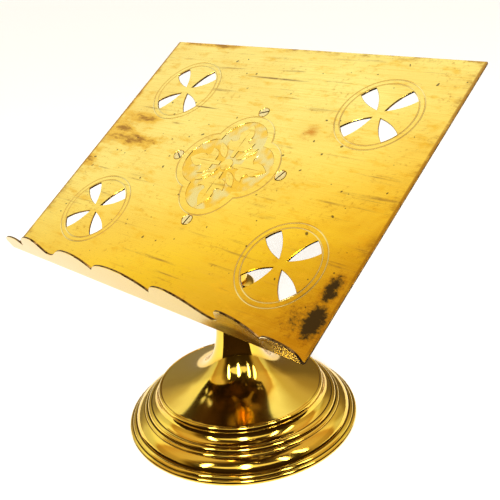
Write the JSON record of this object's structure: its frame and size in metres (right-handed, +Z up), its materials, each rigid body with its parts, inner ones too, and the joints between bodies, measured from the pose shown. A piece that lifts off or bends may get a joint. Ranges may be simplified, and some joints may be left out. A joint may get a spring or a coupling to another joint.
{
  "type": "bible stand",
  "caption": "Tabletop brass bible stand: pierced sheet desk with a scalloped ledge on a turned column and stepped round foot.",
  "frame": {"origin": "centre of the foot's circle on the surface that the stand rests on, on the column's axis", "axes": "+Z up the column, +X along the ledge to the reader's right, and the reader stands at -Y"},
  "size_m": [0.3556, 0.253, 0.3259],
  "materials": {
    "sheet_brass": "hand-polished sheet with fine lengthwise scratches and brown tarnish at the edges",
    "polished_brass": "lathe-turned and polished, tarnish left in the grooves",
    "cast_brass": "as cast, dull and unpolished",
    "screw_brass": "slotted heads, dirt in the slots",
    "steel": "darkened mild steel"
  },
  "bodies": {
    "stand": {"foot_casting": "polished_brass", "column": "polished_brass", "collar": "polished_brass", "swivel_pin": "cast_brass", "tie_rod": "steel", "rod_washer": "steel", "rod_nut": "steel"},
    "desk": {"stem": "polished_brass", "retaining_screw": "screw_brass", "cross_pin": "cast_brass", "desk_bracket": "cast_brass", "desk_plate": "sheet_brass", "screw_right": "screw_brass", "screw_top": "screw_brass", "screw_left": "screw_brass", "screw_bottom": "screw_brass", "nut_right": "cast_brass", "nut_top": "cast_brass", "nut_left": "cast_brass", "nut_bottom": "cast_brass"}
  },
  "joints": [
    {"name": "desk_swivel", "type": "hinge", "parent": "stand", "child": "desk", "pos_m": [0, 0, 0.143], "axis": [0, 0, 1], "continuous": true}
  ]
}
